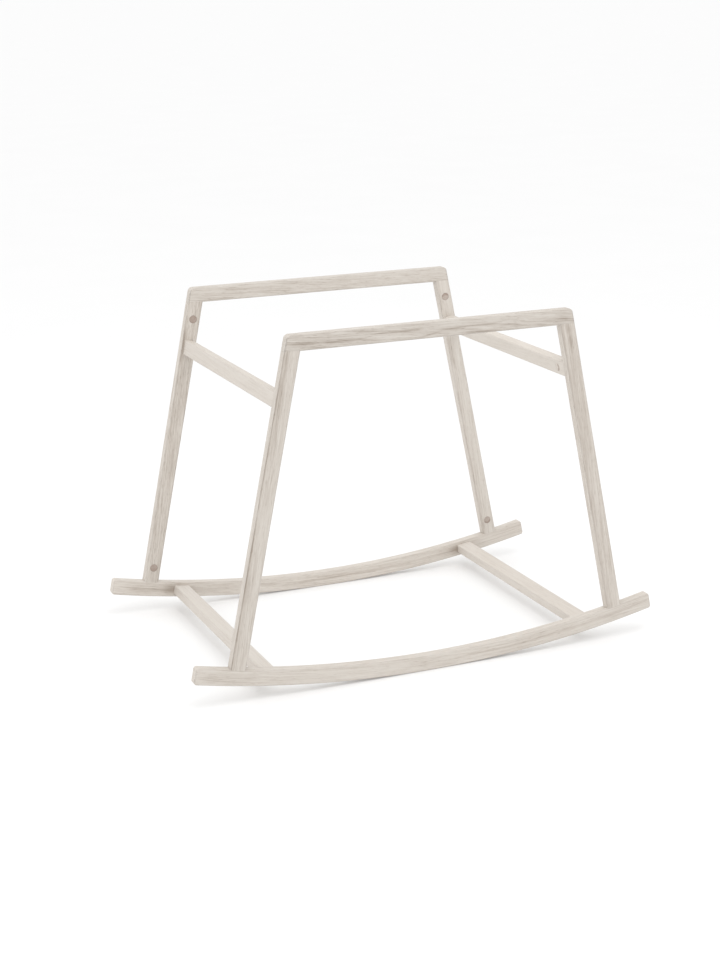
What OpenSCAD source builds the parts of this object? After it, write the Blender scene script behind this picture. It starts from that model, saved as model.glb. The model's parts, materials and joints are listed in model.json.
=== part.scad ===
// Rocking stand for a baby's basket: two side frames, each a long curved rocker,
// two leaning posts and a top rail, joined by two upper and two lower cross bars.
// It comes apart at sixteen joints. In each one a quarter-turn cam draws in the head
// of a connecting bolt, and a wooden dowel beside the bolt stops the joint turning.
//
// +X runs along the rockers, the front frame is at -Y and +Z is up. The origin is on
// the floor, midway between the frames, where the rockers touch it.

/* [Overall] */
// Length over the rocker ends
stand_l = 800; // [760:2:840]
// Width over the outer faces of the two side frames
stand_w = 462; // [400:2:520]
// Height from the floor to the top of the rails
stand_h = 562; // [520:2:620]

/* [Timber] */
// Thickness of every member
timber_t = 16; // [15.5:0.1:16.5]
// Width of the posts and of the upper cross bars
post_w = 25; // [24:0.5:30]
// Width of the lower cross bars
lower_bar_w = 27; // [24:0.5:30]
// Height of the top rails
rail_h = 25; // [22:0.5:30]
// Height of the rockers
rocker_h = 26.5; // [24:0.5:32]
// Radius on the long edges of every member
edge_r = 2.2; // [1:0.1:3.5]

/* [Side frames] */
// Lean of the posts from the vertical, inwards towards the top, in degrees
post_lean = 11.6; // [8:0.1:14]
// Length of a top rail along its upper edge, before its corners are rounded
rail_l = 476; // [440:1:500]
// Radius of a top rail's two upper corners
rail_corner_r = 8; // [4:0.5:12]
// Radius of the arc that the rockers roll on
rocker_r = 1900; // [1500:10:2500]
// Radius of the corners at the rocker ends
rocker_corner_r = 4.5; // [4:0.5:12]

/* [Cross bars] */
// Height of the middle of the upper cross bars, which carry the basket
upper_bar_z = 461.5; // [420:1:480]
// Distance of each lower cross bar from the middle of the stand
lower_bar_x = 276; // [240:1:290]

/* [Connectors] */
// Diameter of a cam
cam_d = 12; // [10:0.5:12.4]
// Diameter of a cover cap
cap_d = 13; // [12.8:0.1:14]
// Thickness of a cover cap
cap_t = 1.4; // [1:0.1:1.6]
// Diameter of a locating dowel
dowel_d = 6; // [5:0.5:6]
// Distance from a cam's centre to the joint at the top of a post
cam_back_top = 28.5; // [24:0.5:34]
// Distance from a cam's centre to the joint at the foot of a post
cam_back_foot = 25; // [24:0.5:34]
// Distance from a cam's centre to the joint at the end of a cross bar
cam_back_bar = 28; // [24:0.5:34]

/* [Hidden] */
$fn = 64;
arc_fn = 720;                   // fragments in a full turn of the rockers' long arcs
overlap = 1;                    // how far a cut runs past the face that it opens
end_lap = 2;                    // how far a rocker's rounded end runs into its arc

rocker_top_r = rocker_r - rocker_h;
rocker_mid_r = rocker_r - rocker_h / 2;
inner_y = stand_w / 2 - timber_t;           // inner faces of the side frames
frame_y = stand_w / 2 - timber_t / 2;       // middle plane of a side frame
rail_z = stand_h - rail_h;                  // underside of the top rails
post_half_x = post_w / cos(post_lean) / 2;  // half of a post's width, measured level
bar_l = 2 * inner_y;
// Angle about the arc's centre at which a rocker's rounded end begins
rocker_end_a = asin((stand_l / 2 - rocker_corner_r) / (rocker_r - rocker_corner_r));
// Angle about the arc's centre at which a lower cross bar sits
lower_bar_a = asin(lower_bar_x / rocker_mid_r);
// Centre of a rail's rounded corner, which touches its top and its sloping end
rail_corner_x = rail_l / 2 + rail_corner_r * (tan(post_lean) - 1 / cos(post_lean));

// Distance of a post's centre line from the middle of the stand, at height z
function post_x(z) = rail_l / 2 + (stand_h - z) * tan(post_lean) - post_half_x;

// Height of a rocker's top face at the distance x from the middle of the stand
function rocker_top_z(x) = rocker_r - sqrt(rocker_top_r * rocker_top_r - x * x);

// Height at which a post's centre line meets a rocker's top face, by repeated steps
function foot_z(z, steps) = steps == 0 ? z : foot_z(rocker_top_z(post_x(z)), steps - 1);

post_foot_z = foot_z(rocker_h, 12);

// Cams
cam_gap = 0.1;                  // room round a cam in its bore
cam_l = 11.4;
cross_w = 1.6;                  // arms of the cross that turns a cam
cross_d = 1.6;
// Connecting bolts
bolt_head_d = 7;
bolt_head_l = 3;
bolt_neck_d = 4;
bolt_neck_l = 4;
bolt_shank_d = 5;
bolt_thread_d = 6;
bolt_thread_l = 10;
bolt_gap = 0.5;                 // room round a bolt's head and shank
// Dowels
dowel_l = 20;
dowel_chamfer = 0.8;
dowel_gap = 0.5;                // room beyond each end of a dowel
dowel_off = 8;                  // distance of a dowel from the bolt beside it
// Cover caps
cap_proud = 0.3;                // how far a cap stands out of the timber

wood = [0.80, 0.77, 0.72];
wood_light = [0.84, 0.81, 0.76];
dowel_wood = [0.85, 0.74, 0.57];
cap_brown = [0.66, 0.60, 0.54];
zinc = [0.62, 0.63, 0.65];

// ---- Placing ----
// Everything is drawn for the right-hand side (+X) of the back frame (+Y), and
// mirrored to the side x and the frame y that it belongs to, each -1 or 1.

module corner_of_stand(x, y) {
    mirror([x < 0 ? 1 : 0, 0, 0]) mirror([0, y < 0 ? 1 : 0, 0]) children();
}

// Turns and moves a shape from the arc's lowest point, at radius r, by the angle a
module along_arc(a, r) {
    translate([0, 0, rocker_r]) rotate([0, -a, 0]) translate([0, 0, -r]) children();
}

// A joint's own frame has its origin where the two members meet. +Z runs along the
// bolt, out of the member that holds the cam, and -Y runs out of the cam's mouth.

// Top of a post, under the rail
module post_top_joint(x, y) {
    corner_of_stand(x, y) translate([post_x(rail_z), frame_y, rail_z])
        rotate([0, -post_lean, 0]) children();
}

// Foot of a post, on the rocker
module post_foot_joint(x, y) {
    corner_of_stand(x, y) translate([post_x(post_foot_z), frame_y, post_foot_z])
        rotate([0, 180 - post_lean, 0]) children();
}

// End of an upper cross bar, against the post, with the cam's mouth facing inwards
module upper_bar_joint(x, y) {
    corner_of_stand(x, y) translate([post_x(upper_bar_z), inner_y, upper_bar_z])
        rotate([0, -post_lean, 0]) rotate([-90, 0, 0]) rotate([0, 0, -90]) children();
}

// End of a lower cross bar, against the rocker, with the cam's mouth facing down
module lower_bar_joint(x, y) {
    corner_of_stand(x, y) translate([0, inner_y, 0]) along_arc(lower_bar_a, rocker_mid_r)
        rotate([-90, 0, 0]) rotate([0, 0, 180]) children();
}

// ---- Timber shapes ----

// Cross-section of a member, with rounded corners
module timber_section(w) {
    square([w - 2 * edge_r, timber_t], center = true);
    square([w, timber_t - 2 * edge_r], center = true);
    for (x = [-1, 1], y = [-1, 1])
        translate([x * (w / 2 - edge_r), y * (timber_t / 2 - edge_r)]) circle(edge_r);
}

// A plate as thick as the timber, from an outline drawn in X and Z
module side_plate() {
    rotate([90, 0, 0]) linear_extrude(timber_t, center = true) children();
}

// A rocker's rounded end, drawn from the plane where the arc stops, towards +X
module rocker_end_timber() {
    end_l = rocker_corner_r + end_lap;
    intersection() {
        side_plate() {
            translate([end_l / 2 - end_lap, 0])
                square([end_l, rocker_h - 2 * rocker_corner_r], center = true);
            for (up = [-1, 1])
                translate([0, up * (rocker_h / 2 - rocker_corner_r)]) intersection() {
                    circle(rocker_corner_r);
                    translate([rocker_corner_r, 0]) square(2 * rocker_corner_r, center = true);
                }
        }
        translate([-end_lap, 0, 0]) rotate([0, 90, 0])
            linear_extrude(end_l) timber_section(rocker_h);
    }
}

// A rocker's timber: the arc, and a rounded end at each side
module rocker_timber() {
    translate([0, 0, rocker_r]) rotate([90, 0, 0]) rotate([0, 0, -90 - rocker_end_a])
        rotate_extrude(angle = 2 * rocker_end_a, $fn = arc_fn)
            translate([rocker_mid_r, 0]) timber_section(rocker_h);
    for (x = [-1, 1])
        corner_of_stand(x, 1) along_arc(rocker_end_a, rocker_mid_r) rocker_end_timber();
}

// Side view of a top rail, whose ends slope with the posts
module rail_outline() {
    touch_x = rail_corner_x + rail_corner_r * cos(post_lean);
    touch_z = stand_h - rail_corner_r + rail_corner_r * sin(post_lean);
    low_x = post_x(rail_z) + post_half_x;
    polygon([[-low_x, rail_z], [low_x, rail_z], [touch_x, touch_z],
             [rail_corner_x, stand_h], [-rail_corner_x, stand_h], [-touch_x, touch_z]]);
    for (side = [-1, 1])
        translate([side * rail_corner_x, stand_h - rail_corner_r]) circle(rail_corner_r);
}

// A top rail's timber
module rail_timber() {
    intersection() {
        side_plate() rail_outline();
        translate([0, 0, rail_z + rail_h / 2]) rotate([0, 90, 0])
            linear_extrude(stand_l, center = true) timber_section(rail_h);
    }
}

// The right-hand post's timber, from the rocker's top face to the rail's underside
module post_timber() {
    intersection() {
        translate([post_x(0), 0, 0]) rotate([0, -post_lean, 0])
            linear_extrude(2 * stand_h) timber_section(post_w);
        side_plate() intersection() {
            translate([0, rocker_r]) circle(rocker_top_r, $fn = arc_fn);
            square([2 * stand_l, 2 * rail_z], center = true);
        }
    }
}

// The timber of a cross bar of width w, lying along Y
module bar_timber(w) {
    rotate([90, 0, 0]) linear_extrude(bar_l, center = true) timber_section(w);
}

// ---- Connector shapes, each in its joint's own frame ----

// Quarter-turn cam: a barrel that takes the bolt's head, with a cross on its face
module cam_piece(back) {
    face_y = -timber_t / 2 + cap_t - cap_proud;
    translate([0, 0, -back]) difference() {
        translate([0, face_y, 0]) rotate([-90, 0, 0]) difference() {
            cylinder(h = cam_l, d = cam_d);
            for (a = [45, 135])
                rotate([0, 0, a]) cube([0.6 * cam_d, cross_w, 2 * cross_d], center = true);
        }
        cylinder(h = cam_d, d = bolt_shank_d + 2 * bolt_gap);
        translate([0, 0, -bolt_head_l / 2 - bolt_gap])
            cylinder(h = bolt_head_l + 2 * bolt_gap, d = bolt_head_d + 2 * bolt_gap);
    }
}

// Connecting bolt: head and neck held by the cam, plain shank, and screwed end
module bolt_piece(back) {
    neck_z = -back + bolt_head_l / 2;
    translate([0, 0, neck_z - bolt_head_l]) cylinder(h = bolt_head_l, d = bolt_head_d);
    translate([0, 0, neck_z]) cylinder(h = bolt_neck_l, d = bolt_neck_d);
    translate([0, 0, neck_z + bolt_neck_l])
        cylinder(h = -neck_z - bolt_neck_l, d = bolt_shank_d);
    cylinder(h = bolt_thread_l, d = bolt_thread_d);
}

// Locating dowel, half of it in each member
module dowel_piece() {
    straight_l = dowel_l - 2 * dowel_chamfer;
    thin_d = dowel_d - 2 * dowel_chamfer;
    translate([dowel_off, 0, 0]) {
        cylinder(h = straight_l, d = dowel_d, center = true);
        for (end = [0, 1])
            mirror([0, 0, end]) translate([0, 0, straight_l / 2])
                cylinder(h = dowel_chamfer, d1 = dowel_d, d2 = thin_d);
    }
}

// Cover cap: a thin disc with a softened rim, pressed in over the cam
module cap_piece(back) {
    translate([0, -timber_t / 2 - cap_proud, -back]) rotate([-90, 0, 0])
        rotate_extrude() {
            translate([0, cap_proud]) square([cap_d / 2, cap_t - cap_proud]);
            square([cap_d / 2 - cap_proud, cap_t]);
            translate([cap_d / 2 - cap_proud, cap_proud]) circle(cap_proud);
        }
}

// ---- Holes, each in its joint's own frame ----

// Half of a dowel's hole, into the bolt's member (up = 1) or the cam's (up = -1)
module dowel_hole(up) {
    hole_l = dowel_l / 2 + dowel_gap;
    translate([dowel_off, 0, up * (hole_l - overlap) / 2])
        cylinder(h = hole_l + overlap, d = dowel_d, center = true);
}

// Holes in the member that holds the cam: cap seat, cam bore, bolt passage and dowel
module cam_holes(back) {
    seat_d = cap_t - cap_proud;
    translate([0, -timber_t / 2, -back]) rotate([-90, 0, 0]) {
        translate([0, 0, -overlap]) cylinder(h = seat_d + overlap, d = cap_d);
        cylinder(h = seat_d + cam_l + cam_gap, d = cam_d + 2 * cam_gap);
    }
    translate([0, 0, -back])
        cylinder(h = back + overlap, d = bolt_shank_d + 2 * bolt_gap);
    dowel_hole(-1);
}

// Holes in the member that the bolt screws into
module bolt_holes() {
    translate([0, 0, -overlap])
        cylinder(h = bolt_thread_l + overlap, d = bolt_thread_d);
    dowel_hole(1);
}

// ---- Timber members ----

// One rocker, in the frame y
module rocker(y) {
    color(wood) difference() {
        translate([0, y * frame_y, 0]) rocker_timber();
        for (x = [-1, 1]) {
            post_foot_joint(x, y) bolt_holes();
            lower_bar_joint(x, y) bolt_holes();
        }
    }
}

// One top rail, in the frame y
module top_rail(y) {
    color(wood) difference() {
        translate([0, y * frame_y, 0]) rail_timber();
        for (x = [-1, 1])
            post_top_joint(x, y) bolt_holes();
    }
}

// One post, on the side x of the frame y
module post(x, y) {
    color(wood) difference() {
        corner_of_stand(x, y) translate([0, frame_y, 0]) post_timber();
        post_top_joint(x, y) cam_holes(cam_back_top);
        post_foot_joint(x, y) cam_holes(cam_back_foot);
        upper_bar_joint(x, y) bolt_holes();
    }
}

// One upper cross bar, turned to lie in line with the posts
module upper_bar(x) {
    color(wood_light) difference() {
        corner_of_stand(x, 1) translate([post_x(upper_bar_z), 0, upper_bar_z])
            rotate([0, 90 - post_lean, 0]) bar_timber(post_w);
        for (y = [-1, 1])
            upper_bar_joint(x, y) cam_holes(cam_back_bar);
    }
}

// One lower cross bar, lying flat along the rockers
module lower_bar(x) {
    color(wood_light) difference() {
        corner_of_stand(x, 1) along_arc(lower_bar_a, rocker_mid_r) bar_timber(lower_bar_w);
        for (y = [-1, 1])
            lower_bar_joint(x, y) cam_holes(cam_back_bar);
    }
}

// ---- Connectors, four of each at each kind of joint ----

module post_top_cams() {
    color(zinc) for (x = [-1, 1], y = [-1, 1]) post_top_joint(x, y) cam_piece(cam_back_top);
}

module post_top_bolts() {
    color(zinc) for (x = [-1, 1], y = [-1, 1]) post_top_joint(x, y) bolt_piece(cam_back_top);
}

module post_top_dowels() {
    color(dowel_wood) for (x = [-1, 1], y = [-1, 1]) post_top_joint(x, y) dowel_piece();
}

module post_top_caps() {
    color(cap_brown)
        for (x = [-1, 1], y = [-1, 1]) post_top_joint(x, y) cap_piece(cam_back_top);
}

module post_foot_cams() {
    color(zinc) for (x = [-1, 1], y = [-1, 1]) post_foot_joint(x, y) cam_piece(cam_back_foot);
}

module post_foot_bolts() {
    color(zinc) for (x = [-1, 1], y = [-1, 1]) post_foot_joint(x, y) bolt_piece(cam_back_foot);
}

module post_foot_dowels() {
    color(dowel_wood) for (x = [-1, 1], y = [-1, 1]) post_foot_joint(x, y) dowel_piece();
}

module post_foot_caps() {
    color(cap_brown)
        for (x = [-1, 1], y = [-1, 1]) post_foot_joint(x, y) cap_piece(cam_back_foot);
}

module upper_bar_cams() {
    color(zinc) for (x = [-1, 1], y = [-1, 1]) upper_bar_joint(x, y) cam_piece(cam_back_bar);
}

module upper_bar_bolts() {
    color(zinc) for (x = [-1, 1], y = [-1, 1]) upper_bar_joint(x, y) bolt_piece(cam_back_bar);
}

module upper_bar_dowels() {
    color(dowel_wood) for (x = [-1, 1], y = [-1, 1]) upper_bar_joint(x, y) dowel_piece();
}

module upper_bar_caps() {
    color(cap_brown)
        for (x = [-1, 1], y = [-1, 1]) upper_bar_joint(x, y) cap_piece(cam_back_bar);
}

module lower_bar_cams() {
    color(zinc) for (x = [-1, 1], y = [-1, 1]) lower_bar_joint(x, y) cam_piece(cam_back_bar);
}

module lower_bar_bolts() {
    color(zinc) for (x = [-1, 1], y = [-1, 1]) lower_bar_joint(x, y) bolt_piece(cam_back_bar);
}

module lower_bar_dowels() {
    color(dowel_wood) for (x = [-1, 1], y = [-1, 1]) lower_bar_joint(x, y) dowel_piece();
}

module lower_bar_caps() {
    color(cap_brown)
        for (x = [-1, 1], y = [-1, 1]) lower_bar_joint(x, y) cap_piece(cam_back_bar);
}

rocker(-1);  // rocker_front
rocker(1);  // rocker_back
post(-1, -1);  // post_front_left
post(1, -1);  // post_front_right
post(-1, 1);  // post_back_left
post(1, 1);  // post_back_right
top_rail(-1);  // top_rail_front
top_rail(1);  // top_rail_back
upper_bar(-1);  // upper_bar_left
upper_bar(1);  // upper_bar_right
lower_bar(-1);  // lower_bar_left
lower_bar(1);  // lower_bar_right
post_top_cams();
post_top_bolts();
post_top_dowels();
post_top_caps();
post_foot_cams();
post_foot_bolts();
post_foot_dowels();
post_foot_caps();
upper_bar_cams();
upper_bar_bolts();
upper_bar_dowels();
upper_bar_caps();
lower_bar_cams();
lower_bar_bolts();
lower_bar_dowels();
lower_bar_caps();
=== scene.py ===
"""Looks of a wooden rocking stand for a baby's basket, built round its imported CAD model.

Each timber member is rebuilt as a finely rounded mesh in the place of its CAD node, with
the bores of its joints cut in, and each cover cap as a slightly domed disc. The cams,
bolts and dowels inside are the CAD nodes themselves. Everything is in metres, in the
CAD frame: +X along the rockers, the front frame at -Y, +Z up.
"""

import json
import math

import bmesh
import bpy
from mathutils import Matrix, Vector


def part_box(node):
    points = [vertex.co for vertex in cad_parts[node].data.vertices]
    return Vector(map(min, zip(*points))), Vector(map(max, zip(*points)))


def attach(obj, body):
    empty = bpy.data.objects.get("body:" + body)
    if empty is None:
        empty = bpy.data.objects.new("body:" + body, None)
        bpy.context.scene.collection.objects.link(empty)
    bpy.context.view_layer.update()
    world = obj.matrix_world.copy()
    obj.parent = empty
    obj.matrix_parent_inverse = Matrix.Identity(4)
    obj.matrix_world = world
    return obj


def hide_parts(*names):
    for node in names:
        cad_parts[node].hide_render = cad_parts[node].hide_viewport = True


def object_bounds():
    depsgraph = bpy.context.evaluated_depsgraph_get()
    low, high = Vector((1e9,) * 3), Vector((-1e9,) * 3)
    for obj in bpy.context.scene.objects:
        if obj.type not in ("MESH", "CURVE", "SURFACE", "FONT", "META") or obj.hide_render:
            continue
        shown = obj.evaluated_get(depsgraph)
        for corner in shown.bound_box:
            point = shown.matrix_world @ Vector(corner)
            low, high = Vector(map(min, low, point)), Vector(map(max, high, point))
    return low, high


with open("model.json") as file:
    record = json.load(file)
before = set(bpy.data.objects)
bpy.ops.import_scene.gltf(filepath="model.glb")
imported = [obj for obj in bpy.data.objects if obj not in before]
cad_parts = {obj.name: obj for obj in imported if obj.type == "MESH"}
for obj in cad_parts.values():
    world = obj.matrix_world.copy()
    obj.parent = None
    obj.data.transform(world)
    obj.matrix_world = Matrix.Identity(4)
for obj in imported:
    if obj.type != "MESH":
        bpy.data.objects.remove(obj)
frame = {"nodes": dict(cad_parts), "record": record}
cad_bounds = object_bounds()
record = frame["record"]

# ---- Sizes ----

# Sizes that the nodes' boxes don't give
ROCKER_R = 1.9          # arc that the rockers roll on
ROCKER_H = 0.0265
POST_W = 0.025          # posts and upper bars
LOWER_BAR_W = 0.027
RAIL_CORNER_R = 0.008
ROCKER_CORNER_R = 0.0045
EDGE_R = 0.0022         # long edges of every member
END_R = 0.0006          # edges round a butted end

CAD_LOW, CAD_HIGH = (Vector(corner) for corner in cad_bounds)
INNER_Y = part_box("rocker_back")[0].y
OUTER_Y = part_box("rocker_back")[1].y
FRAME_Y = (INNER_Y + OUTER_Y) / 2
TIMBER_T = OUTER_Y - INNER_Y
STAND_H = CAD_HIGH.z
END_X = CAD_HIGH.x
RAIL_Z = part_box("top_rail_back")[0].z
RAIL_H = STAND_H - RAIL_Z
REST_AXIS = Vector(record["mounts"][0]["axis"])
LEAN = abs(math.atan2(REST_AXIS.x, REST_AXIS.z))
ROCKER_TOP_R = ROCKER_R - ROCKER_H
ROCKER_MID_R = ROCKER_R - ROCKER_H / 2
POST_HALF_X = POST_W / math.cos(LEAN) / 2
POST_TOP_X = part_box("post_back_right")[0].x + POST_HALF_X
UPPER_BAR_Z = sum(corner.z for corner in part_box("upper_bar_right")) / 2
LOWER_BAR_X = sum(corner.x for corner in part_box("lower_bar_right")) / 2
LOWER_BAR_A = math.asin(LOWER_BAR_X / ROCKER_MID_R)

# Joints: distance from a cam's centre to the joint, and the bores
CAM_BACK = {"post_top": 0.0285, "post_foot": 0.025, "upper_bar": 0.028, "lower_bar": 0.028}
SEAT_R, SEAT_DEPTH = 0.00665, 0.00115
BORE_R, BORE_DEPTH = 0.0061, 0.0126
PASSAGE_R = 0.003
DOWEL_R, DOWEL_DEPTH, DOWEL_OFF = 0.003, 0.0105, 0.008
SCREW_R, SCREW_DEPTH = 0.003, 0.0102
PAST_FACE, PAST_END, OVERLAP = 0.002, 0.001, 0.0002     # how far the cutters run on
CAP_R, CAP_T = 0.0065, 0.0014
CAP_PROUD = 0.0003      # how far a cap stands out of the timber

# Facets and stations of the meshes
EDGE_STEPS = 6          # in a quarter turn of a rounded edge
CORNER_STEPS = 10       # in the corner of a rocker's or rail's outline
ROCKER_STEPS = 90       # along half a rocker
RAIL_STEPS = 30         # along half a rail
BAR_STEPS = 12          # along a post or bar
BORE_SIDES = 48
SIDES = (-1, 1)


def post_x(z):
    """Distance of a post's centre line from the middle of the stand, at height z."""
    return POST_TOP_X + (RAIL_Z - z) * math.tan(LEAN)


def rocker_top_z(x):
    """Height of a rocker's top face at the distance x from the middle of the stand."""
    return ROCKER_R - math.sqrt(ROCKER_TOP_R ** 2 - x * x)


# Where a post's centre line meets the rocker's top, which a few rounds settle
POST_FOOT_Z = ROCKER_H
for _ in range(12):
    POST_FOOT_Z = rocker_top_z(post_x(POST_FOOT_Z))


# ---- Mesh building ----

def rounded_section(width, thickness, radius):
    """Points round a rounded rectangle, anticlockwise."""
    points = []
    for corner in range(4):
        x_side, y_side = ((1, 1), (-1, 1), (-1, -1), (1, -1))[corner]
        centre = Vector((x_side * (width / 2 - radius), y_side * (thickness / 2 - radius)))
        for k in range(EDGE_STEPS + 1):
            angle = math.pi / 2 * (corner + k / EDGE_STEPS)
            points.append(centre + radius * Vector((math.cos(angle), math.sin(angle))))
    return points


def round_over(radius):
    """(depth from the end, inset) of the rings that round an edge, from the end inwards."""
    angles = [math.pi / 2 * k / EDGE_STEPS for k in range(EDGE_STEPS + 1)]
    return [(radius * (1 - math.cos(a)), radius * (1 - math.sin(a))) for a in angles]


def join_rings(bm, rings):
    """Quads between each ring of vertices and the next."""
    for ring, following in zip(rings, rings[1:]):
        count = len(ring)
        for k in range(count):
            bm.faces.new((ring[k], ring[(k + 1) % count],
                          following[(k + 1) % count], following[k]))


def swept_bar(width, start_of, end_of, place):
    """A straight member with rounded long edges and finely eased ends.

    start_of and end_of give, for a point (a, b) of the section, how far along the
    member it starts and ends; place turns (a, b, s) into a point of the frame.
    """
    bm = bmesh.new()
    eased = round_over(END_R)
    stations = [(0, depth, inset) for depth, inset in eased]
    stations += [(k / BAR_STEPS, 0, 0) for k in range(1, BAR_STEPS)]
    stations += [(1, -depth, inset) for depth, inset in reversed(eased)]
    rings = []
    for share, depth, inset in stations:
        section = rounded_section(width - 2 * inset, TIMBER_T - 2 * inset, EDGE_R - inset)
        ring = []
        for a, b in section:
            start, end = start_of(a, b), end_of(a, b)
            ring.append(bm.verts.new(place(a, b, start + share * (end - start) + depth)))
        rings.append(ring)
    join_rings(bm, rings)
    bm.faces.new(rings[0])
    bm.faces.new(rings[-1])
    return bm


def plate(upper, lower, y_middle):
    """A plate as thick as the timber, all its edges rounded.

    upper and lower are equally long lists of (x, z), left to right, which together
    are its outline.
    """
    outline = [Vector(p) for p in upper] + [Vector(p) for p in reversed(lower)]
    count = len(outline)
    inwards = []
    for k in range(count):
        before = (outline[k] - outline[k - 1]).normalized()
        after = (outline[(k + 1) % count] - outline[k]).normalized()
        n1, n2 = Vector((before.y, -before.x)), Vector((after.y, -after.x))
        inwards.append((n1 + n2) / (1 + n1.dot(n2)))
    bm = bmesh.new()
    layers = [(-TIMBER_T / 2 + depth, inset) for depth, inset in round_over(EDGE_R)]
    layers += [(-offset, inset) for offset, inset in reversed(layers)]
    rings = [[bm.verts.new((p.x + n.x * inset, y_middle + offset, p.y + n.y * inset))
              for p, n in zip(outline, inwards)] for offset, inset in layers]
    join_rings(bm, rings)
    for ring in (rings[0], rings[-1]):
        for k in range(len(upper) - 1):
            bm.faces.new((ring[k], ring[k + 1], ring[count - 2 - k], ring[count - 1 - k]))
    return bm


def cylinder(origin, axis, start, end, radius):
    """A closed cylinder along axis, from start to end measured from origin."""
    bm = bmesh.new()
    axis = axis.normalized()
    turn = axis.to_track_quat("Z", "Y").to_matrix().to_4x4()
    middle = Matrix.Translation(origin + axis * (start + end) / 2)
    bmesh.ops.create_cone(bm, cap_ends=True, segments=BORE_SIDES, radius1=radius,
                          radius2=radius, depth=end - start, matrix=middle @ turn)
    return bm


def mesh_from(bm, name):
    """A mesh with its faces turned outwards; bm is used up."""
    bmesh.ops.recalc_face_normals(bm, faces=bm.faces)
    mesh = bpy.data.meshes.new(name)
    bm.to_mesh(mesh)
    bm.free()
    return mesh


def cut(body_bm, cutter_bms, name):
    """The mesh of body_bm with every cutter taken out of it."""
    piece = bpy.data.objects.new(name, mesh_from(body_bm, name))
    bpy.context.scene.collection.objects.link(piece)
    for k, cutter_bm in enumerate(cutter_bms):
        cutter = bpy.data.objects.new(f"{name}.cutter{k}", mesh_from(cutter_bm, "cutter"))
        bpy.context.scene.collection.objects.link(cutter)
        boolean = piece.modifiers.new("Bore", "BOOLEAN")
        boolean.operation = "DIFFERENCE"
        boolean.solver = "EXACT"
        boolean.object = cutter
        depsgraph = bpy.context.evaluated_depsgraph_get()
        mesh = bpy.data.meshes.new_from_object(piece.evaluated_get(depsgraph))
        piece.modifiers.clear()
        piece.data = mesh
        bpy.data.objects.remove(cutter)
    mesh = piece.data
    bpy.data.objects.remove(piece)
    return mesh


# ---- Joints ----
# A joint's axis runs along its bolt, out of the member that holds the cam. Its mouth is
# the direction that the cam's face looks in.

def joint(kind, x, y):
    """(origin, axis, mouth, side) of one joint; side is where its dowel lies."""
    out = Vector((0, y, 0))
    lean_up = Vector((-x * math.sin(LEAN), 0, math.cos(LEAN)))
    lean_out = Vector((x * math.cos(LEAN), 0, math.sin(LEAN)))
    if kind == "post_top":
        return Vector((x * post_x(RAIL_Z), y * FRAME_Y, RAIL_Z)), lean_up, -out, lean_out
    if kind == "post_foot":
        origin = Vector((x * post_x(POST_FOOT_Z), y * FRAME_Y, POST_FOOT_Z))
        return origin, -lean_up, -out, -lean_out
    if kind == "upper_bar":
        origin = Vector((x * post_x(UPPER_BAR_Z), y * INNER_Y, UPPER_BAR_Z))
        return origin, out, -lean_out, lean_up
    around = Vector((x * math.sin(LOWER_BAR_A), 0, -math.cos(LOWER_BAR_A)))
    origin = Vector((0, y * INNER_Y, ROCKER_R)) + around * ROCKER_MID_R
    along = Vector((x * math.cos(LOWER_BAR_A), 0, math.sin(LOWER_BAR_A)))
    return origin, out, around, along


def cam_centre(kind, x, y):
    """Middle of a joint's cam, half way through the timber."""
    origin, axis, _, _ = joint(kind, x, y)
    return origin - axis * CAM_BACK[kind]


def cam_side_cutters(kind, x, y):
    """Cap seat, cam bore, bolt passage and dowel hole."""
    origin, axis, mouth, side = joint(kind, x, y)
    centre = cam_centre(kind, x, y)
    face = centre + mouth * TIMBER_T / 2
    return [cylinder(face, mouth, -SEAT_DEPTH, PAST_FACE, SEAT_R),
            cylinder(face, mouth, -BORE_DEPTH, -SEAT_DEPTH + OVERLAP, BORE_R),
            cylinder(centre, axis, 0, CAM_BACK[kind] + PAST_END, PASSAGE_R),
            cylinder(origin + side * DOWEL_OFF, axis, -DOWEL_DEPTH, PAST_END, DOWEL_R)]


def screw_side_cutters(kind, x, y):
    """Screw hole and dowel hole in the member that the bolt goes into."""
    origin, axis, _, side = joint(kind, x, y)
    return [cylinder(origin, axis, -PAST_END, SCREW_DEPTH, SCREW_R),
            cylinder(origin + side * DOWEL_OFF, axis, -PAST_END, DOWEL_DEPTH, DOWEL_R)]


# ---- Timber members ----
# Each one returns its mesh, the cutters of its bores, a function that turns a point of the
# frame into (across the width, across the thickness, along the grain), and, if its ends
# show, one that gives the point's distance from the nearer end.

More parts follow.
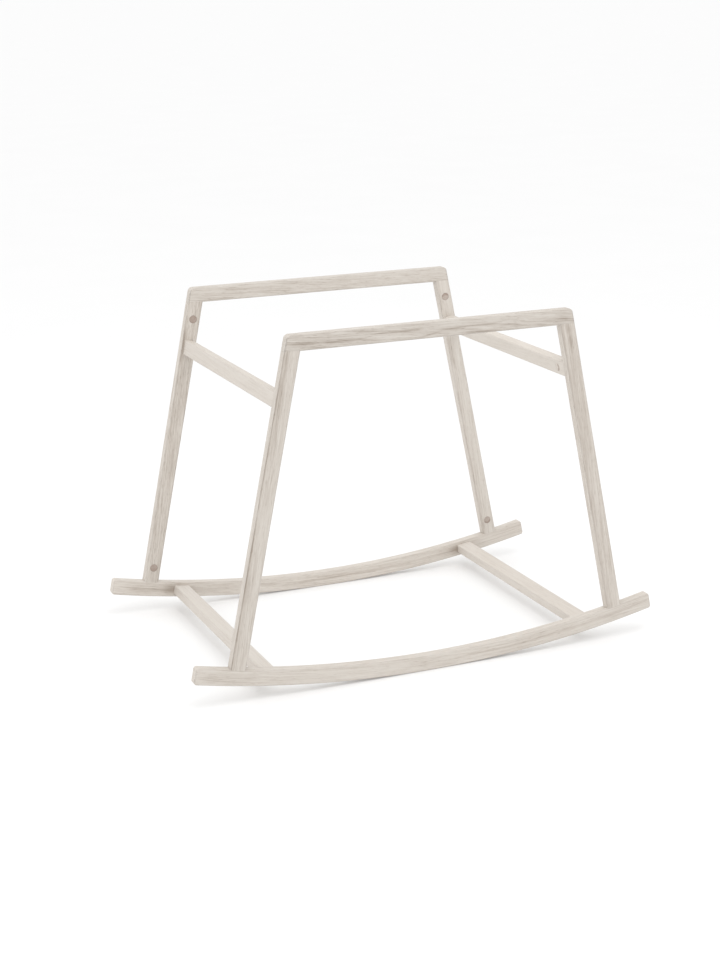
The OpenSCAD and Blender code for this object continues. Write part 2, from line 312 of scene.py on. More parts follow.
def rocker(y):
    """A long arc, a little rounded at its ends' corners."""
    middle_y = y * FRAME_Y
    end_a = math.asin((END_X - ROCKER_CORNER_R) / (ROCKER_R - ROCKER_CORNER_R))
    turns = [math.pi / 2 * k / CORNER_STEPS for k in range(1, CORNER_STEPS + 1)]

    def on_arc(angle, radius, along=0):
        """The point at the angle, moved on along the tangent there."""
        return (math.sin(angle) * radius + math.cos(angle) * along,
                ROCKER_R - math.cos(angle) * radius + math.sin(angle) * along)

    def long_side(radius, inwards):
        """The arc of this radius with half of each end, left to right."""
        left, right = ([on_arc(side * end_a,
                               radius + inwards * (ROCKER_CORNER_R * (1 - math.cos(turn))),
                               side * ROCKER_CORNER_R * math.sin(turn)) for turn in turns]
                       for side in SIDES)
        arc = [on_arc(end_a * k / ROCKER_STEPS, radius)
               for k in range(-ROCKER_STEPS, ROCKER_STEPS + 1)]
        return left[::-1] + arc + right

    body = plate(long_side(ROCKER_TOP_R, 1), long_side(ROCKER_R, -1), middle_y)
    cutters = []
    for x in SIDES:
        for kind in ("post_foot", "lower_bar"):
            cutters += screw_side_cutters(kind, x, y)

    def section(p):
        across = ROCKER_MID_R - math.hypot(p.x, ROCKER_R - p.z)
        along = ROCKER_MID_R * math.atan2(p.x, ROCKER_R - p.z)
        return across, p.y - middle_y, along

    def from_end(p):
        turned = math.atan2(abs(p.x), ROCKER_R - p.z)
        return (end_a + ROCKER_CORNER_R / ROCKER_R - turned) * ROCKER_MID_R
    return body, cutters, section, from_end


def top_rail(y):
    """A straight rail with its ends as slanted as the posts and its upper corners rounded."""
    middle_y = y * FRAME_Y
    tan, cos = math.tan(LEAN), math.cos(LEAN)
    low_x = POST_TOP_X + POST_HALF_X
    corner_x = low_x - RAIL_H * tan + RAIL_CORNER_R * (tan - 1 / cos)
    corner_z = STAND_H - RAIL_CORNER_R
    quarter = math.pi / 2 - LEAN
    bend = [(corner_x + RAIL_CORNER_R * math.cos(LEAN + quarter * k / CORNER_STEPS),
             corner_z + RAIL_CORNER_R * math.sin(LEAN + quarter * k / CORNER_STEPS))
            for k in range(CORNER_STEPS + 1)]
    top = [(corner_x * k / RAIL_STEPS, STAND_H) for k in range(1 - RAIL_STEPS, RAIL_STEPS)]
    upper = [(-x, z) for x, z in bend] + top + bend[::-1]
    lower = [(-low_x + 2 * low_x * k / (len(upper) - 1), RAIL_Z) for k in range(len(upper))]
    body = plate(upper, lower, middle_y)
    cutters = []
    for x in SIDES:
        cutters += screw_side_cutters("post_top", x, y)

    def section(p):
        return p.z - RAIL_Z - RAIL_H / 2, p.y - middle_y, p.x

    def from_end(p):
        return (low_x - (p.z - RAIL_Z) * tan - abs(p.x)) * cos
    return body, cutters, section, from_end


def post(x, y):
    """A post coped over the rocker, and cut level under the rail."""
    middle_y = y * FRAME_Y
    up = Vector((-x * math.sin(LEAN), 0, math.cos(LEAN)))
    out = Vector((x * math.cos(LEAN), 0, math.sin(LEAN)))
    base = Vector((x * post_x(0), middle_y, 0))

    def place(a, b, s):
        return base + out * a + Vector((0, b, 0)) + up * s

    def lip(b):
        """How far the end reaches round the other member's rounded edge at b."""
        past = min(max(abs(b) - (TIMBER_T / 2 - EDGE_R), 0), EDGE_R)
        return EDGE_R - math.sqrt(EDGE_R ** 2 - past ** 2)

    def start_of(a, b):
        """Where the rocker's top is met, which a few rounds settle."""
        s = 0
        for _ in range(8):
            s += (rocker_top_z(place(a, b, s).x) - place(a, b, s).z) / up.z
        return s - lip(b)

    def end_of(a, b):
        return (RAIL_Z - a * out.z) / up.z + lip(b)
    body = swept_bar(POST_W, start_of, end_of, place)
    cutters = cam_side_cutters("post_top", x, y) + cam_side_cutters("post_foot", x, y)
    cutters += screw_side_cutters("upper_bar", x, y)

    def section(p):
        return (p - base).dot(out), p.y - middle_y, (p - base).dot(up)
    return body, cutters, section, None


def cross_bar(kind, x):
    """An upper or lower bar, butted between the two frames."""
    origin, _, mouth, side = joint(kind, x, 1)
    width = POST_W if kind == "upper_bar" else LOWER_BAR_W
    centre = Vector((origin.x, 0, origin.z))

    def place(a, b, s):
        return centre + side * a + mouth * b + Vector((0, s, 0))
    body = swept_bar(width, lambda a, b: -INNER_Y, lambda a, b: INNER_Y, place)
    cutters = cam_side_cutters(kind, x, 1) + cam_side_cutters(kind, x, -1)

    def section(p):
        return (p - centre).dot(side), (p - centre).dot(mouth), p.y
    return body, cutters, section, None


# ---- Materials ----

class MaterialNodes:
    """A new material, and helpers that add nodes to it."""

    def __init__(self, name):
        self.material = bpy.data.materials.new(name)
        self.material.use_nodes = True
        self.tree = self.material.node_tree
        self.link = self.tree.links.new
        self.shader = self.tree.nodes["Principled BSDF"]

    def node(self, kind, **properties):
        made = self.tree.nodes.new("ShaderNode" + kind)
        for name, value in properties.items():
            setattr(made, name, value)
        return made

    def put(self, value, socket):
        """Link another node's output to a socket, or set the socket to a plain value."""
        if isinstance(value, bpy.types.NodeSocket):
            self.link(value, socket)
        else:
            socket.default_value = value

    def feed(self, made, values):
        """Give a node's inputs their values, in order."""
        for socket, value in zip(made.inputs, values):
            self.put(value, socket)
        return made.outputs[0]

    def math(self, operation, *values, clamp=False):
        return self.feed(self.node("Math", operation=operation, use_clamp=clamp), values)

    def vector_math(self, operation, *values):
        return self.feed(self.node("VectorMath", operation=operation), values)

    def parts(self, vector):
        """The X, Y and Z of a vector."""
        made = self.node("SeparateXYZ")
        self.feed(made, (vector,))
        return [made.outputs[axis] for axis in "XYZ"]

    def attribute(self, name, output):
        return self.node("Attribute", attribute_name=name).outputs[output]

    def object_place(self):
        return self.node("TexCoord").outputs["Object"]

    def noise(self, at, scale, detail=2.0, rough=0.5, output="Fac"):
        """Noise at a place; scale is per metre, along each axis."""
        made = self.node("TexNoise", noise_dimensions="3D")
        made.inputs["Scale"].default_value = 1.0
        made.inputs["Detail"].default_value = detail
        made.inputs["Roughness"].default_value = rough
        self.link(self.vector_math("MULTIPLY", at, scale), made.inputs["Vector"])
        return made.outputs[output]

    def step(self, value, low, high):
        """0 at low, 1 at high, smooth between."""
        made = self.node("MapRange", interpolation_type="SMOOTHSTEP")
        made.inputs["From Min"].default_value = low
        made.inputs["From Max"].default_value = high
        self.link(value, made.inputs["Value"])
        return made.outputs["Result"]

    def ramp(self, value, stops):
        """The colour at a value, between (position, colour) stops."""
        made = self.node("ValToRGB")
        elements = made.color_ramp.elements
        while len(elements) < len(stops):
            elements.new(0.5)
        for element, (position, colour) in zip(elements, stops):
            element.position = position
            element.color = (*colour, 1)
        self.link(value, made.inputs["Fac"])
        return made.outputs["Color"]

    def mix(self, blend_type, factor, first, second):
        made = self.node("Mix", data_type="RGBA", blend_type=blend_type)
        for name, value in (("Factor", factor), ("A", first), ("B", second)):
            self.put(value, made.inputs[name])
        return made.outputs["Result"]

    def finish(self, colour, rough, rough_range, height, bump, depth):
        """Link the surface to the shader, and give back the material.

        rough goes from 0 to 1 between the two roughnesses of rough_range. height goes
        from 0 to 1 over a relief of this depth in metres, whose strength is bump.
        """
        self.link(colour, self.shader.inputs["Base Color"])
        low, high = rough_range
        self.link(self.math("MULTIPLY_ADD", rough, high - low, low),
                  self.shader.inputs["Roughness"])
        made = self.node("Bump")
        made.inputs["Strength"].default_value = bump
        made.inputs["Distance"].default_value = depth
        self.link(height, made.inputs["Height"])
        self.link(made.outputs["Normal"], self.shader.inputs["Normal"])
        return self.material


# Shade of the wood from its lightest to its darkest grain
WOOD_COLOURS = [(0.0, (0.640, 0.605, 0.555)), (0.4, (0.560, 0.515, 0.464)),
                (0.7, (0.455, 0.405, 0.355)), (1.0, (0.330, 0.280, 0.235))]
WOOD_MIDDLE = 0.4       # where wood of no shade lies on that scale
FIBRE_SWAY = 0.0035     # how far the fibres wander
LINE_SWAY = 0.006       # and the growth lines
STREAK_FADE = 0.025     # length over which a growth line fades at each end
PORE_LEVEL = 0.58       # noise above this is a pore
EDGE_LINE_W = EDGE_R * 1.2

# Noise scales of the grain: (across, through, along) per metre
SWAY_SCALE, CLOUD_SCALE = (25, 25, 9), (30, 30, 9)
BROAD_SCALE, FIBRE_SCALE = (260, 260, 5), (560, 560, 15)
FINE_SCALE, PORE_SCALE = (1500, 1500, 45), (1100, 1100, 90)


class WoodNodes(MaterialNodes):
    """The nodes of one timber member's wood, in the member's own directions.

    A shade of 0 is plain wood, and a higher one is darker.
    """

    def __init__(self, name, width, offset, wave, slant):
        super().__init__(name)
        self.width = width
        section = self.attribute("section", "Vector")
        self.across, self.through, self.along = self.parts(section)
        self.place = self.vector_math("ADD", section, offset)
        sway = self.noise(self.place, SWAY_SCALE, output="Color")
        reach = FIBRE_SWAY * wave
        swayed = self.vector_math("MULTIPLY_ADD", sway, (reach, reach, 0.0), self.place)
        lean = self.feed(self.node("CombineXYZ"), (self.math("MULTIPLY", self.along, slant),))
        self.fibre_place = self.vector_math("ADD", swayed, lean)
        reach = LINE_SWAY * wave
        self.wandered = self.math("MULTIPLY_ADD", self.parts(sway)[0], reach, self.across)
        self.wandered = self.math("SUBTRACT", self.wandered, reach / 2)

    def add_shade(self, shade, mask, strength):
        return self.math("MULTIPLY_ADD", mask, strength, shade)

    def fibre_shade(self, grain):
        """Shade of the fibres and pores. Keeps the noises that other steps need too."""
        at = self.fibre_place
        self.broad = self.noise(at, BROAD_SCALE, 3.0, 0.6)
        self.fibres = self.noise(at, FIBRE_SCALE, 3.0, 0.7)
        fine = self.noise(at, FINE_SCALE, 1.0)
        clouds = self.noise(self.place, CLOUD_SCALE)
        over = self.math("SUBTRACT", self.noise(at, PORE_SCALE, 1.0), PORE_LEVEL)
        self.pores = self.math("MULTIPLY", over, 7.0, clamp=True)
        shade = 0.0
        for noise, weight in ((self.broad, 0.55), (self.fibres, 1.0), (fine, 0.5),
                              (clouds, 0.25)):
            centred = self.math("MULTIPLY_ADD", noise, weight * grain, -0.5 * weight * grain)
            shade = self.math("ADD", shade, centred)
        return self.add_shade(shade, self.pores, 0.25 * grain)

    def face(self, through):
        """1 on the flat of a broad face, 0 off it."""
        return self.step(through, TIMBER_T / 2 - EDGE_R, TIMBER_T / 2)

    def streak(self, across, start, end, half_width):
        """A dark line from start to end, each (along, across), fading at both."""
        slope = (end[1] - start[1]) / (end[0] - start[0])
        line = self.math("MULTIPLY_ADD", self.along, slope, start[1] - slope * start[0])
        off = self.math("DIVIDE", self.math("SUBTRACT", across, line), half_width)
        square = self.math("MULTIPLY", off, off)
        body = self.math("EXPONENT", self.math("MULTIPLY", square, -1.0))
        fade = min(STREAK_FADE, (end[0] - start[0]) / 2)
        body = self.math("MULTIPLY", body, self.step(self.along, start[0], start[0] + fade))
        return self.math("MULTIPLY", body, self.step(self.along, end[0], end[0] - fade))

    def edge_darkening(self, edge, end_edge):
        """A grey that darkens the rounded edges in a thin, uneven line."""
        from_end = self.attribute("from_end", "Fac")
        from_side = self.math("SUBTRACT", self.width / 2, self.math("ABSOLUTE", self.across))
        from_face = self.math("SUBTRACT", TIMBER_T / 2, self.math("ABSOLUTE", self.through))
        near = self.math("MAXIMUM", self.math("MINIMUM", from_side, from_end), from_face)
        line = self.math("SUBTRACT", 1.0, self.math("DIVIDE", near, EDGE_LINE_W), clamp=True)
        line = self.math("MULTIPLY", line, self.math("MULTIPLY_ADD", self.broad, 1.2, 0.4))
        at_end = self.math("LESS_THAN", from_end, from_side)
        strength = self.math("MULTIPLY_ADD", at_end, end_edge - edge, edge)
        left = self.math("SUBTRACT", 1.0, self.math("MULTIPLY", line, strength))
        return self.feed(self.node("CombineColor"), (left, left, left))


def wood(name, width, offset, tone=1.0, painted_face_shade=0.0, grain=1.0, wave=1.0, slant=0.0,
         edge=0.1, end_edge=0.1, dark_side=0.0, streaks=(), inner=0, contact_shade=()):
    """Pale limed ash with its grain along the member.

    offset is the member's own place in the noise, and tone its brightness. grain is the
    contrast of its fibres, wave how much they wander, slant how far they run across per
    metre, and dark_side (+ or -) the side of the width that is a little darker.
    The broad faces are darkened by painted_face_shade, or lightened where it is negative:
    painted shade or painted light for how the light falls on each face. edge and end_edge darken
    the rounded edges along the member and round its ends. Each streak is (start, end, half
    width, strength), with start and end as (along, across). grime is the same, on the inner
    broad face only, which is the one on the inner side (+ or -) of the thickness, and is a
    painted shadow beside the lower bars' ends.
    """
    nodes = WoodNodes(name, width, offset, wave, slant)
    shade = nodes.fibre_shade(grain)

    # Growth lines, broken up by the fibres
    on_face = nodes.face(nodes.math("ABSOLUTE", nodes.through))
    broken = nodes.math("MULTIPLY", nodes.math("ADD", nodes.fibres, 0.5), on_face)
    for start, end, half_width, strength in streaks:
        line = nodes.streak(nodes.wandered, start, end, half_width)
        shade = nodes.add_shade(shade, nodes.math("MULTIPLY", line, broken), strength)
    # Painted shade on the broad faces, or painted light where negative, for how light falls on
    # them
    shade = nodes.add_shade(shade, on_face, painted_face_shade)
    # Painted shadow beside the lower bars' ends, on the inner broad face only
    inner_face = nodes.face(nodes.math("MULTIPLY", nodes.through, inner))
    for start, end, half_width, strength in contact_shade:
        patch = nodes.streak(nodes.across, start, end, half_width)
        shade = nodes.add_shade(shade, nodes.math("MULTIPLY", patch, inner_face), strength)
    if dark_side:
        toward = nodes.math("MULTIPLY", nodes.across, math.copysign(1.0, dark_side))
        dark = nodes.math("MULTIPLY", nodes.step(toward, -0.004, width / 2), on_face)
        shade = nodes.add_shade(shade, dark, abs(dark_side))

    position = nodes.math("ADD", shade, WOOD_MIDDLE, clamp=True)
    colour = nodes.ramp(position, [(at_shade, tuple(c * tone for c in colour))
                                   for at_shade, colour in WOOD_COLOURS])
    colour = nodes.mix("MULTIPLY", 1.0, colour, nodes.edge_darkening(edge, end_edge))

    # Darker grain is rougher, and the pores are open
    height = nodes.math("SUBTRACT", nodes.math("MULTIPLY", nodes.fibres, 0.35),
                        nodes.math("MULTIPLY", nodes.pores, 0.65))
    return nodes.finish(colour, position, (0.45, 0.65), height, 0.35, 0.0002)


def metal(name, colour, roughness, scale, dark):
    """Cast or plated zinc: fine mottling, dulled in patches."""
    nodes = MaterialNodes(name)
    place = nodes.object_place()
    grain = nodes.noise(place, (scale,) * 3, 4.0)
    patches = nodes.noise(place, (scale / 9,) * 3)
    shades = nodes.ramp(patches, [(0.3, tuple(c * dark for c in colour)), (0.7, colour)])
    nodes.shader.inputs["Metallic"].default_value = 1.0
    return nodes.finish(shades, grain, (roughness - 0.08, roughness + 0.12), grain, 0.25, 0.0001)


def dowel_beech():
    """Raw beech with short flecks."""
    nodes = MaterialNodes("dowel_wood")
    grain = nodes.noise(nodes.object_place(), (700,) * 3, 3.0)
    shades = nodes.ramp(grain, [(0.3, (0.50, 0.36, 0.22)), (0.7, (0.66, 0.50, 0.33))])
    return nodes.finish(shades, grain, (0.55, 0.75), grain, 0.3, 0.0001)


def cap_plastic():
    """Matt brown moulded plastic with a fine grain, faded or dusty on some caps.

    The attribute "disc" is (along the joint's axis, across it, faded), the first two in
    cap radii from the cap's middle.
    """
    nodes = MaterialNodes("cap_plastic")
    place = nodes.object_place()
    grain = nodes.noise(place, (2600,) * 3)
    clouds = nodes.noise(place, (300,) * 3)
    along, across, faded = nodes.parts(nodes.attribute("disc", "Vector"))
    radius = nodes.math("SQRT", nodes.math("ADD", nodes.math("MULTIPLY", along, along),
                                           nodes.math("MULTIPLY", across, across)))
    rim = nodes.step(radius, 0.72, 0.95)
    # Faded caps keep a dark crescent on one side: a painted shadow of a recess round the cap
    recess_shadow = nodes.math("MULTIPLY", nodes.step(radius, 0.3, 0.7), nodes.step(along, 0.0, 0.45))
    fade = nodes.math("SUBTRACT", faded, nodes.math("MULTIPLY", recess_shadow, 0.8), clamp=True)
    brown = nodes.ramp(nodes.math("MULTIPLY_ADD", rim, -0.25, clouds),
                       [(0.3, (0.320, 0.250, 0.208)), (0.7, (0.372, 0.302, 0.260))])
    pale = nodes.ramp(clouds, [(0.3, (0.550, 0.500, 0.445)), (0.7, (0.620, 0.565, 0.510))])
    colour = nodes.mix("MIX", fade, brown, pale)
    return nodes.finish(colour, grain, (0.40, 0.70), grain, 0.2, 0.00005)


# ---- Putting the pieces in place ----

CREASE = math.radians(40)
FAR = 1.0               # distance from an end that doesn't show


def add_piece(name, mesh, material, node):
    """The visible piece that stands in for a CAD node."""
    piece = bpy.data.objects.new(name, mesh)
    bpy.context.scene.collection.objects.link(piece)
    mesh.materials.clear()
    mesh.materials.append(material)
    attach(piece, "root")
    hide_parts(node)
    return piece


def smooth(mesh, piece):
    """Smooth shading with creases at sharp edges, and flats kept flat."""
    bm = bmesh.new()
    bm.from_mesh(mesh)
    for face in bm.faces:
        face.smooth = True
    for edge in bm.edges:
        edge.smooth = len(edge.link_faces) == 2 and edge.calc_face_angle(0) < CREASE
    bm.to_mesh(mesh)
    bm.free()
    weighted = piece.modifiers.new("Flats", "WEIGHTED_NORMAL")
    weighted.keep_sharp = True
    weighted.weight = 80


def add_timber(node, parts, material):
    """A timber member, with the attributes that its wood reads."""
    body, cutters, section, from_end = parts
    mesh = cut(body, cutters, node + "_timber")
    for vertex in mesh.vertices:
        vertex.co = Vector(min(max(c, low), high)
                           for c, low, high in zip(vertex.co, CAD_LOW, CAD_HIGH))
    values = [value for vertex in mesh.vertices for value in section(vertex.co)]
    mesh.attributes.new("section", "FLOAT_VECTOR", "POINT").data.foreach_set("vector", values)
    values = [from_end(vertex.co) if from_end else FAR for vertex in mesh.vertices]
    mesh.attributes.new("from_end", "FLOAT", "POINT").data.foreach_set("value", values)
    piece = add_piece(node + "_timber", mesh, material, node)
    smooth(mesh, piece)


# Growth lines that stand out: (start, end, half width, strength), where start and end are
# (along, across), along being +X on rockers and rails and upwards on posts
STREAKS = {
    "top_rail_front": [
        ((-0.250, 0.001), (-0.195, -0.003), 0.0030, 0.20),
        ((-0.240, -0.001), (-0.105, -0.0045), 0.0018, 0.48),
        ((-0.130, -0.004), (-0.075, -0.011), 0.0012, 0.26),
        ((-0.220, -0.0095), (-0.170, -0.0105), 0.0012, 0.34),
        ((-0.150, 0.0095), (-0.080, 0.0045), 0.0012, 0.26),
        ((-0.110, 0.0015), (-0.010, 0.0035), 0.0021, 0.44),
        ((-0.035, -0.011), (0.020, -0.001), 0.0013, 0.34),
        ((0.000, -0.001), (0.120, 0.000), 0.0016, 0.34),
        ((0.095, 0.000), (0.165, -0.008), 0.0014, 0.32),
        ((0.035, -0.009), (0.120, -0.0105), 0.0018, 0.30),
        ((0.198, 0.002), (0.245, -0.001), 0.0055, 0.28)],
    "top_rail_back": [
        ((-0.185, 0.0045), (-0.080, 0.003), 0.0012, 0.30),
        ((-0.235, -0.0085), (-0.150, -0.0095), 0.0009, 0.34),
        ((-0.150, -0.002), (-0.035, -0.0045), 0.0011, 0.32),
        ((-0.020, 0.005), (0.180, 0.000), 0.0014, 0.14)],
    "rocker_front": [
        ((0.020, 0.000), (0.400, 0.001), 0.0018, 0.24),
        ((-0.060, 0.002), (0.400, 0.001), 0.0060, 0.10),
        ((-0.400, -0.001), (-0.290, -0.001), 0.0080, 0.16)],
    "rocker_back": [
        # The first line is partly a growth line and partly painted shade: the shadow beside the
        # left lower bar's far end
        ((-0.385, 0.000), (-0.240, 0.000), 0.0050, 0.26),
        ((-0.150, 0.001), (0.300, -0.001), 0.0018, 0.20),
        ((-0.260, 0.001), (0.330, -0.001), 0.0055, 0.09)],
    "post_front_left": [
        ((0.400, 0.005), (0.560, 0.008), 0.0030, 0.20),
        ((0.000, 0.0120), (0.560, 0.0122), 0.0012, 0.50)],
    "post_front_right": [
        ((0.500, -0.001), (0.545, 0.001), 0.0040, 0.26),
        ((0.530, 0.000), (0.555, 0.001), 0.0060, 0.20),
        ((0.300, -0.006), (0.540, 0.004), 0.0030, 0.12)],
    "post_back_left": [
        ((0.430, 0.0105), (0.510, 0.0105), 0.0022, 0.45)],
    "post_back_right": [
        ((0.020, -0.0115), (0.230, -0.0100), 0.0008, 0.30),
        ((0.380, -0.0090), (0.450, -0.0090), 0.0030, 0.26)],
}

# Painted shadow beside the lower bars' ends, on the rocker's inner face, where the bars shade it
CONTACT_SHADE = {
    "rocker_back": [
        ((-0.318, 0.000), (-0.262, 0.000), 0.0110, 0.42),
        ((0.238, 0.000), (0.290, 0.000), 0.0090, 0.40)],
}

# Brightness of each member, and how much darker its broad faces are painted than its sides:
# painted shade, or painted light where negative, for how the light falls on each face
TONES = {
    "rocker_front": (1.02, -0.04), "rocker_back": (1.07, 0.0),
    "top_rail_front": (0.955, 0.0), "top_rail_back": (0.98, -0.01),
    "post_front_left": (0.99, 0.0), "post_front_right": (1.015, 0.07),
    "post_back_left": (1.015, 0.12), "post_back_right": (1.03, -0.08),
    "upper_bar_left": (1.03, 0.0), "upper_bar_right": (1.06, -0.03),
    "lower_bar_left": (1.035, -0.07), "lower_bar_right": (1.055, 0.0),
}


def stand_timber():
    """Every timber member, in its own wood."""
    def add(node, parts, slot, width, offset, **look):
        tone, painted_face_shade = TONES[node]
        material = wood(node, width, offset, tone=tone, painted_face_shade=painted_face_shade,
                        streaks=STREAKS.get(node, ()), contact_shade=CONTACT_SHADE.get(node, ()), **look)
        add_timber(node, parts, material)

    for y, frame_name in ((-1, "front"), (1, "back")):
        add("rocker_" + frame_name, rocker(y), "rocker_wood", ROCKER_H,
            (0.011, 0.03 * y, 0.9 + y), wave=0.5, slant=0.03, end_edge=0.22, inner=-y)
        add("top_rail_" + frame_name, top_rail(y), "rail_wood", RAIL_H,
            (0.003, 0.022 * y, 3.1 + y), grain=1.25, wave=1.3, slant=0.06, end_edge=0.35)
        for x, side_name in ((-1, "left"), (1, "right")):
            # The back left post has coarser grain, the same all over its width
            coarse = (x, y) == (-1, 1)
            add(f"post_{frame_name}_{side_name}", post(x, y), "post_wood", POST_W,
                (0.02 * x, 0.025, 5.3 + y + 0.4 * x), grain=1.4 if coarse else 1.0,
                wave=0.6, slant=-0.045, edge=0.16, dark_side=0.0 if coarse else -0.14 * x)
    for x, side_name in ((-1, "left"), (1, "right")):
        for kind, width in (("upper_bar", POST_W), ("lower_bar", LOWER_BAR_W)):
            add(f"{kind}_{side_name}", cross_bar(kind, x), "bar_wood", width,
                (0.03, 0.03 * x, 7.7 + width * 40 + x), grain=0.5, wave=0.5,
                slant=0.03 * x, edge=0.10 if kind == "lower_bar" else 0.05)


# A cap's top: a slightly domed middle, a fine groove round it, and a rounded rim
DOME_R, GROOVE_R, LIP_R = CAP_R * 0.86, CAP_R * 0.89, CAP_R * 0.92
DOME_H, GROOVE_DEPTH, LIP_DEPTH = 0.00016, 0.00028, 0.00016
RIM_R, RIM_DEPTH = 0.0003, 0.0005
CAP_SIDES = 48

# How faded a cap is, by kind, side and frame; the others are nearly all dark
FADED_CAPS = {("post_top", 1, 1): 0.36, ("upper_bar", 1, -1): 1.0, ("post_foot", 1, 1): 0.26,
              ("post_top", -1, 1): 0.0}
DARK_CAP = 0.08


def cap_profile():
    """(radius, height) of a cap's outline from its middle, over the top and rim, to the back."""
    crown = CAP_T / 2
    points = [(DOME_R * k / 10, crown - DOME_H * (k / 10) ** 2) for k in range(11)]
    points += [(GROOVE_R, crown - GROOVE_DEPTH), (LIP_R, crown - LIP_DEPTH)]
    for k in range(5):
        angle = math.pi / 2 * k / 4
        points.append((CAP_R - RIM_R + RIM_R * math.sin(angle),
                       crown - RIM_DEPTH + RIM_R * math.cos(angle)))
    points += [(CAP_R, -crown), (CAP_R * 0.9, -crown)]
    return points


def caps(kind):
    """The four cover caps of one kind of joint, as one mesh."""
    bm = bmesh.new()
    disc = bm.verts.layers.float_vector.new("disc")
    (_, top_height), *outline = cap_profile()
    for x in SIDES:
        for y in SIDES:
            _, axis, mouth, _ = joint(kind, x, y)
            centre = cam_centre(kind, x, y) + mouth * (TIMBER_T / 2 + CAP_PROUD - CAP_T / 2)
            across = mouth.cross(axis)
            faded = FADED_CAPS.get((kind, x, y), DARK_CAP)

            def add_point(radius, height, k):
                angle = 2 * math.pi * k / CAP_SIDES
                a, b = radius * math.cos(angle), radius * math.sin(angle)
                vertex = bm.verts.new(centre + mouth * height + axis * a + across * b)
                vertex[disc] = (a / CAP_R, b / CAP_R, faded)
                return vertex

            rings = [[add_point(radius, height, k) for k in range(CAP_SIDES)]
                     for radius, height in outline]
            join_rings(bm, rings)
            top = add_point(0, top_height, 0)
            for k in range(CAP_SIDES):
                bm.faces.new((top, rings[0][k], rings[0][(k + 1) % CAP_SIDES]))
            bm.faces.new(rings[-1])
    return mesh_from(bm, kind + "_covers")


def stand_caps():
    """The cover caps of every kind of joint."""
    brown = cap_plastic()
    for kind in CAM_BACK:
        mesh = caps(kind)
        piece = add_piece(kind + "_covers", mesh, brown, kind + "_caps")
        smooth(mesh, piece)


def stand_fixings():
    """Materials of the cams, bolts and dowels, whose shapes are the CAD nodes'."""
    cast = metal("cam_zinc", (0.55, 0.56, 0.58), 0.42, 900.0, 0.8)
    plated = metal("bolt_zinc", (0.62, 0.63, 0.65), 0.30, 1400.0, 0.85)
    beech = dowel_beech()
    for kind in CAM_BACK:
        for part, material in (("_cams", cast), ("_bolts", plated), ("_dowels", beech)):
            mesh = frame["nodes"][kind + part].data
            mesh.materials.clear()
            mesh.materials.append(material)


# ---- Floor, light and camera ----

FLOOR_R = 120.0
FLOOR_WHITE, FLOOR_MOTTLE = 0.80, 0.005
FLOOR_GLOW = 0.082      # brings the open floor up to white
WALLS, WALLS_LEFT = 1.024, 0.432        # brightness all round, and more towards the left
LIGHT_POWER, LIGHT_SIZE = 14.2, 1.6
LIGHT_AT, LIGHT_TARGET = Vector((0.0, -0.95, 2.3)), Vector((0, 0, 0.2))

# The camera that fits the photo's straight edges
LENS, SENSOR = 67.072, 36.0
CAMERA_AT = Vector((-1.153684, -2.622790, 1.078273))
YAW, PITCH, ROLL = 0.406014, 0.280063, -0.012003


def floor():
    """A plain pale floor, faintly mottled, that reaches the horizon."""
    nodes = MaterialNodes("floor")
    grain = nodes.noise(nodes.object_place(), (3.0,) * 3)
    shades = nodes.ramp(grain, [(0.2, (FLOOR_WHITE - FLOOR_MOTTLE,) * 3),
                                (0.8, (FLOOR_WHITE + FLOOR_MOTTLE,) * 3)])
    nodes.link(shades, nodes.shader.inputs["Base Color"])
    for name, value in (("Roughness", 1.0), ("Specular IOR Level", 0.0),
                        ("Emission Color", (1, 1, 1, 1)), ("Emission Strength", FLOOR_GLOW)):
        nodes.shader.inputs[name].default_value = value
    bm = bmesh.new()
    bmesh.ops.create_circle(bm, cap_ends=True, segments=96, radius=FLOOR_R)
    mesh = mesh_from(bm, "floor")
    mesh.materials.append(nodes.material)
    made = bpy.data.objects.new("floor", mesh)
    bpy.context.scene.collection.objects.link(made)


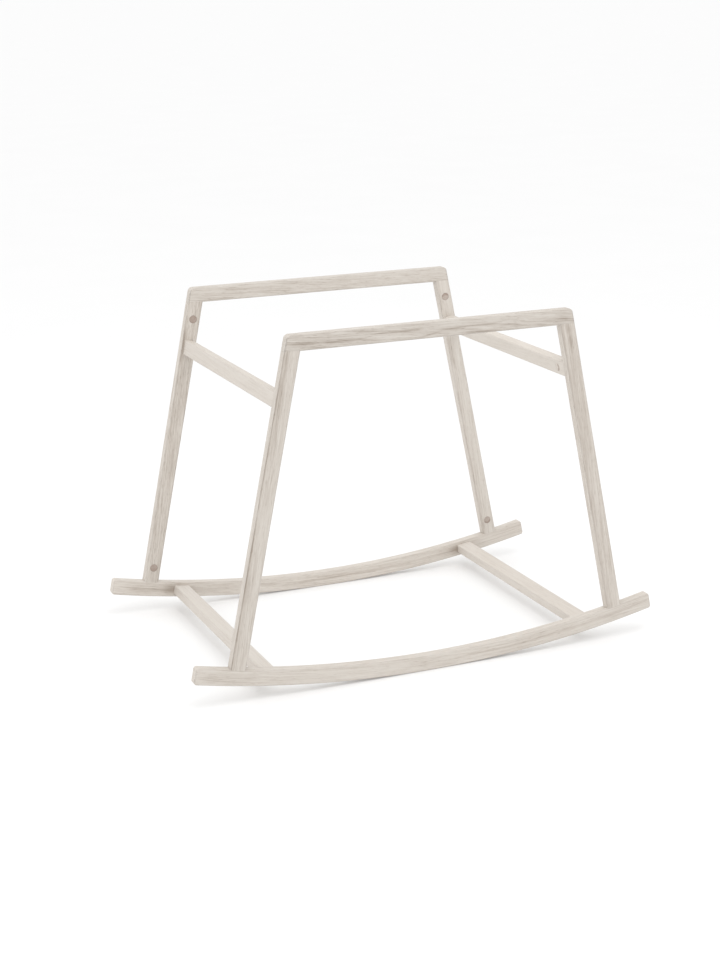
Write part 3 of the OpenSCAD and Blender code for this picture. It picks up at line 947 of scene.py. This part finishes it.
def softbox(name, power, size, at, target):
    """A square studio light at a point, turned to a target."""
    light = bpy.data.lights.new(name, "AREA")
    light.energy = power
    light.size = size
    made = bpy.data.objects.new(name, light)
    made.location = at
    made.rotation_mode = "QUATERNION"
    made.rotation_quaternion = (target - at).to_track_quat("-Z", "Y")
    bpy.context.scene.collection.objects.link(made)


def studio_walls(strength, left_extra):
    """White surroundings, brighter towards the left."""
    world = bpy.data.worlds.new("studio")
    world.use_nodes = True
    nodes, link = world.node_tree.nodes, world.node_tree.links.new
    way = nodes.new("ShaderNodeTexCoord")
    parts = nodes.new("ShaderNodeSeparateXYZ")
    link(way.outputs["Generated"], parts.inputs[0])
    level = nodes.new("ShaderNodeMapRange")
    level.inputs["From Min"].default_value = 0.0
    level.inputs["From Max"].default_value = -1.0
    level.inputs["To Min"].default_value = strength
    level.inputs["To Max"].default_value = strength + left_extra
    link(parts.outputs["X"], level.inputs["Value"])
    link(level.outputs["Result"], nodes["Background"].inputs["Strength"])
    nodes["Background"].inputs["Color"].default_value = (1, 1, 1, 1)
    bpy.context.scene.world = world


def photo_camera():
    """The camera, turned by YAW to the right of +Y, PITCH down and ROLL about its view."""
    data = bpy.data.cameras.new("camera")
    data.sensor_fit = "AUTO"
    data.sensor_width = SENSOR
    data.lens = LENS
    data.clip_end = 500.0
    camera = bpy.data.objects.new("camera", data)
    bpy.context.scene.collection.objects.link(camera)
    bpy.context.scene.camera = camera
    ahead = Vector((math.sin(YAW) * math.cos(PITCH), math.cos(YAW) * math.cos(PITCH),
                    -math.sin(PITCH)))
    level = Vector((math.cos(YAW), -math.sin(YAW), 0))
    upright = level.cross(ahead)
    right = level * math.cos(ROLL) + upright * math.sin(ROLL)
    upwards = upright * math.cos(ROLL) - level * math.sin(ROLL)
    placing = Matrix((right, upwards, -ahead)).transposed().to_4x4()
    placing.translation = CAMERA_AT
    camera.matrix_world = placing


# ---- The scene ----

stand_timber()
stand_caps()
stand_fixings()
floor()
softbox("overhead", LIGHT_POWER, LIGHT_SIZE, LIGHT_AT, LIGHT_TARGET)
studio_walls(WALLS, WALLS_LEFT)
photo_camera()
bpy.context.scene.view_settings.view_transform = "Standard"
